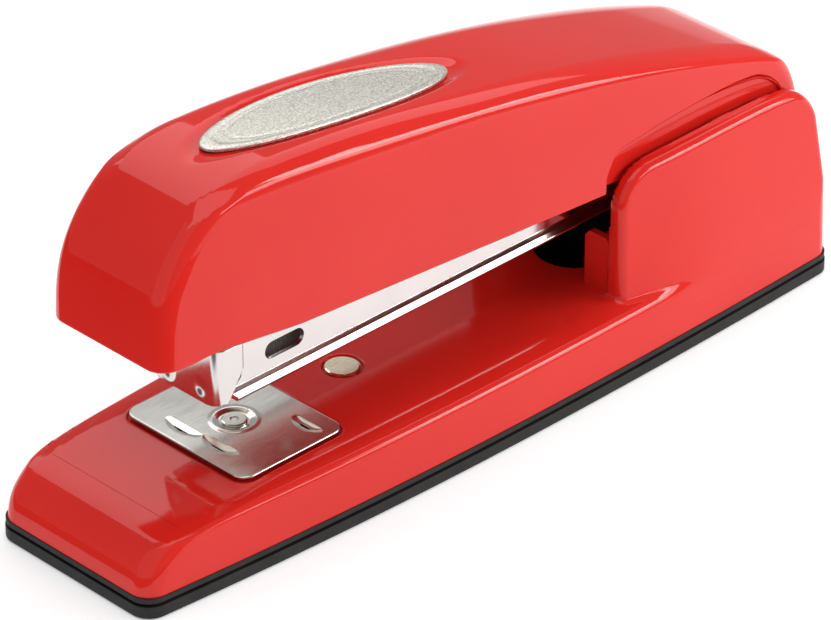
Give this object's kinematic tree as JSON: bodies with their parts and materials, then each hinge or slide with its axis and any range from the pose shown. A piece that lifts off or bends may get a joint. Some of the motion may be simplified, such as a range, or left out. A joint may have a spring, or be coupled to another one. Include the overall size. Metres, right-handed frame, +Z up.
{
  "type": "desk stapler",
  "caption": "Full-strip desk stapler: a long red handle and a plated magazine hinged between two rear wings of a flat base with a turning anvil and a rubber pad.",
  "frame": {"origin": "on the table under the middle of the footprint", "axes": "X along the length with the nose towards -X, Y across, +Z up"},
  "size_m": [0.19, 0.0532, 0.0811],
  "materials": {
    "red_paint": "glossy red enamel on pressed steel",
    "rubber_black": "satin black rubber",
    "bright_chrome": "bright chrome plate",
    "nickel_plate": "lightly brushed nickel plate",
    "satin_nickel": "bead blasted satin plate",
    "spring_steel": "hardened spring steel",
    "zinc_steel": "zinc plated steel",
    "brass_plate": "pale brass plating",
    "staple_wire": "glued strip of plated steel wire"
  },
  "bodies": {
    "base": {"rubber_pad": "rubber_black", "base_shell": "red_paint", "anvil_leaf_spring": "spring_steel", "spring_rivet": "brass_plate", "hinge_cradle": "red_paint", "cradle_rivets": "zinc_steel", "hinge_pin": "zinc_steel", "pin_rings": "spring_steel", "lift_spring": "spring_steel"},
    "anvil_carrier": {"anvil_collar": "zinc_steel"},
    "anvil": {"anvil_plate": "nickel_plate", "anvil_post": "nickel_plate", "anvil_clip": "spring_steel"},
    "magazine": {"magazine_channel": "bright_chrome", "bottom_rail": "bright_chrome", "rail_rivets": "zinc_steel", "staple_core": "zinc_steel", "staple_strip": "staple_wire", "nose_cap": "bright_chrome", "rod_bridge": "zinc_steel", "rear_stop": "zinc_steel", "guide_rod": "zinc_steel"},
    "follower": {"follower": "zinc_steel", "follower_spring": "spring_steel"},
    "handle": {"handle_cap": "red_paint", "badge": "satin_nickel", "handle_frame": "zinc_steel", "driver_leaf": "spring_steel", "leaf_rivets": "zinc_steel", "driver_blade": "spring_steel", "blade_rivet": "zinc_steel"}
  },
  "joints": [
    {"name": "magazine_hinge", "type": "hinge", "parent": "base", "child": "magazine", "pos_m": [0.0825, 0, 0.037], "axis": [0, 1, 0], "range_deg": [-4.3, 35], "stiffness_Nm_per_rad": 2, "springref_deg": 6.88, "deforming": ["lift_spring"]},
    {"name": "handle_hinge", "type": "hinge", "parent": "magazine", "child": "handle", "pos_m": [0.0825, 0, 0.037], "axis": [0, 1, 0], "range_deg": [-3.3, 70], "stiffness_Nm_per_rad": 1, "springref_deg": 6.88},
    {"name": "follower_slide", "type": "slide", "parent": "magazine", "child": "follower", "axis": [1, 0, 0], "range_m": [0, 0.034], "stiffness_N_per_m": 60, "springref_m": -0.02, "deforming": ["follower_spring"]},
    {"name": "anvil_lift", "type": "slide", "parent": "base", "child": "anvil_carrier", "axis": [0, 0, 1], "range_m": [0, 0.003], "stiffness_N_per_m": 300, "springref_m": -0.004, "deforming": ["anvil_leaf_spring"]},
    {"name": "anvil_turn", "type": "hinge", "parent": "anvil_carrier", "child": "anvil", "pos_m": [-0.052, 0, 0.0164], "axis": [0, 0, 1], "range_deg": [0, 180]}
  ]
}
